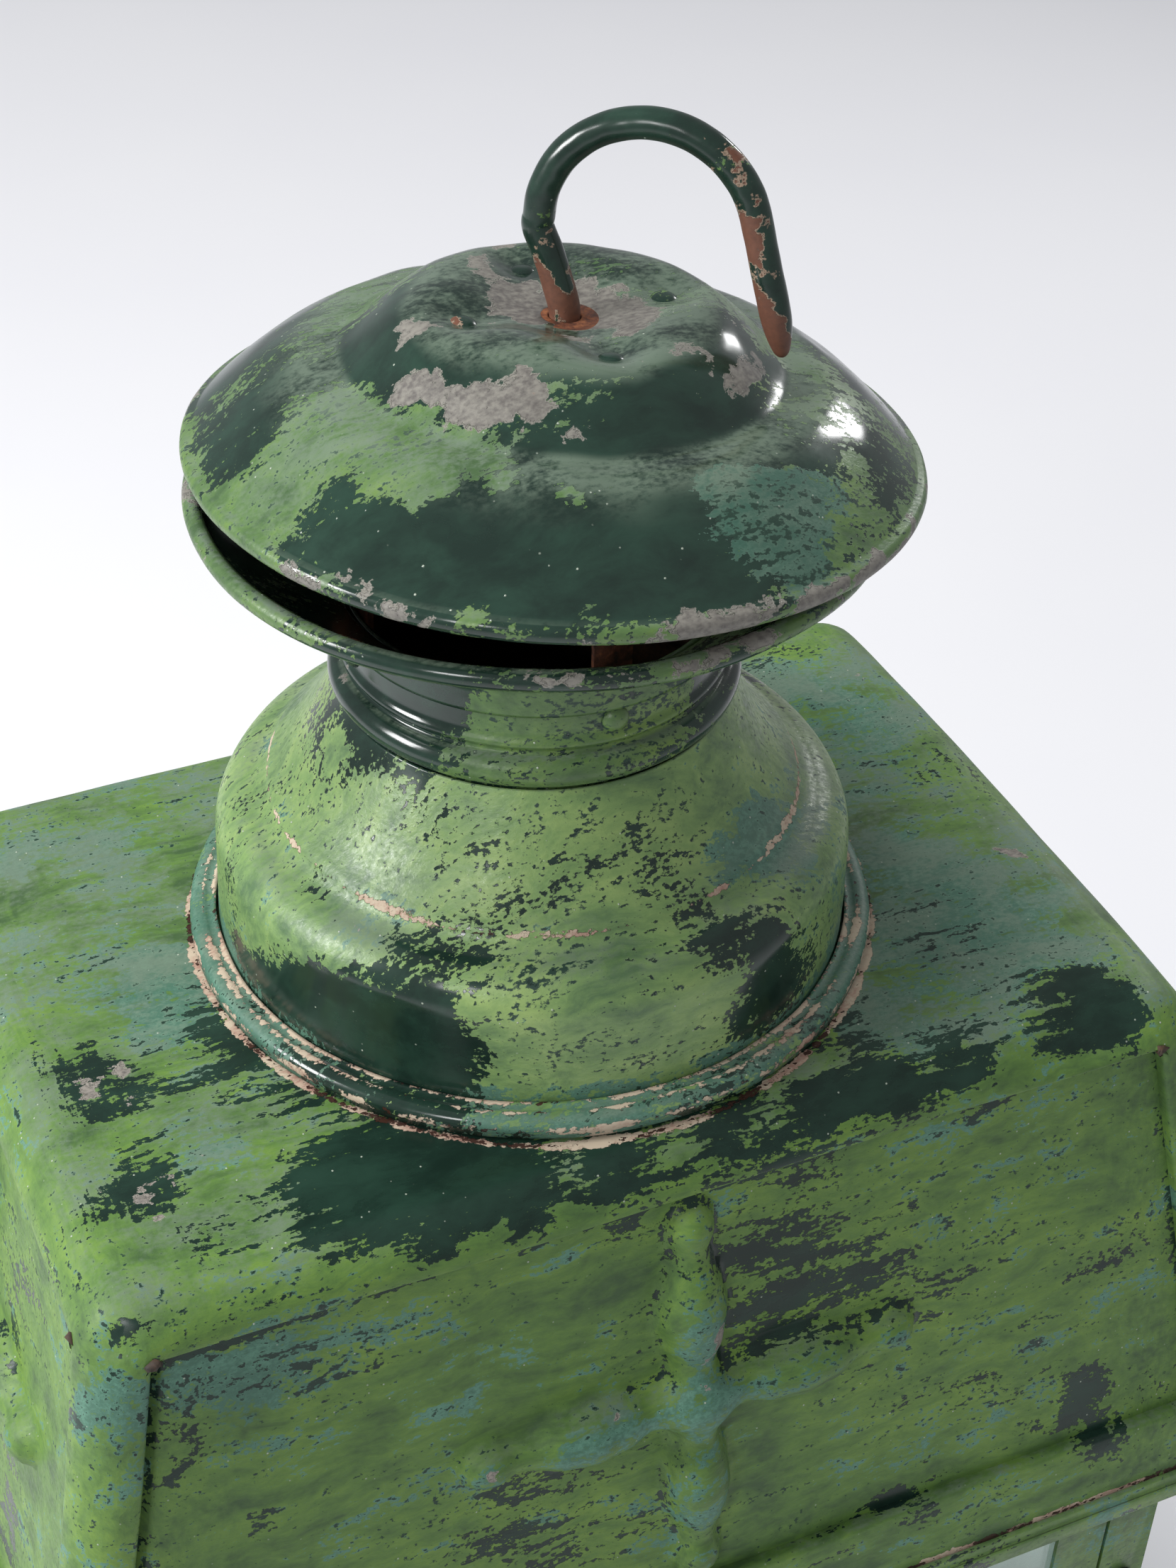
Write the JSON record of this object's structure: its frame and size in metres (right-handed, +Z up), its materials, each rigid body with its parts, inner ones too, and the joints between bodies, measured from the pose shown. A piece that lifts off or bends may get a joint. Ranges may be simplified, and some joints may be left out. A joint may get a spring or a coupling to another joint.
{
  "type": "candle lantern",
  "caption": "Rectangular glazed candle lantern with a hinged door, a flared hood with a relief cross on each side, and a hooked cap over a domed chimney.",
  "frame": {"origin": "middle of the underside of the base, on the surface the lantern stands on", "axes": "+Z up, the door faces -Y, +X to the right seen from the door's side"},
  "size_m": [0.296, 0.21, 0.5412],
  "materials": {
    "green_paint": "worn glossy paint over older coats",
    "window_glass": "old clear sheet glass",
    "rusted_iron": "forged iron with paint rests and rust",
    "bare_tinplate": "dull tinplate, sooted",
    "aged_brass": "tarnished",
    "candle_wax": "wax",
    "wick_cotton": "charred cotton"
  },
  "bodies": {
    "housing": {"base_pan": "green_paint", "base_moulding": "green_paint", "floor_plate": "bare_tinplate", "corner_post_front_left": "green_paint", "corner_post_front_right": "green_paint", "corner_post_back_right": "green_paint", "corner_post_back_left": "green_paint", "pane_left": "window_glass", "pane_right": "window_glass", "pane_back": "window_glass", "head_frame": "green_paint", "eaves_band": "green_paint", "hood_shell": "green_paint", "hood_panel_front": "green_paint", "hood_panel_right": "green_paint", "hood_panel_back": "green_paint", "hood_panel_left": "green_paint", "base_ring": "green_paint", "chimney_dome": "green_paint", "neck_tube": "green_paint", "wind_saucer": "green_paint", "saucer_rim_wire": "green_paint", "cap_leg_front": "bare_tinplate", "cap_leg_right": "bare_tinplate", "cap_leg_back": "bare_tinplate", "cap_leg_left": "bare_tinplate", "neck_rivets": "rusted_iron", "cap": "green_paint", "cap_rim_wire": "green_paint", "cap_rivets": "rusted_iron", "post_leaf_lower": "green_paint", "post_leaf_upper": "green_paint", "hinge_pins": "bare_tinplate", "turn_button_rivet": "rusted_iron", "drip_dish": "aged_brass", "candle_cup": "aged_brass"},
    "hook": {"hook": "rusted_iron", "hook_washer": "rusted_iron"},
    "door": {"door_frame": "green_paint", "door_glass": "window_glass", "door_clips": "bare_tinplate", "door_knob": "aged_brass", "door_leaf_lower": "green_paint", "door_leaf_upper": "green_paint"},
    "turn_button": {"turn_button": "green_paint"},
    "candle": {"candle": "candle_wax", "wick": "wick_cotton"}
  },
  "joints": [
    {"name": "hook_swivel", "type": "hinge", "parent": "housing", "child": "hook", "pos_m": [0.0049, -0.0001, 0.5012], "axis": [0.0595, 0.0397, 0.9974], "continuous": true},
    {"name": "door_hinge", "type": "hinge", "parent": "housing", "child": "door", "pos_m": [-0.1195, -0.094, 0.12], "axis": [0, 0, -1], "range_deg": [0, 110]},
    {"name": "turn_button_pivot", "type": "hinge", "parent": "housing", "child": "turn_button", "pos_m": [0.127, -0.092, 0.15], "axis": [0, -1, 0], "range_deg": [0, 90]},
    {"name": "candle_lift", "type": "slide", "parent": "housing", "child": "candle", "axis": [0, 0, 1], "range_m": [0, 0.03]}
  ]
}
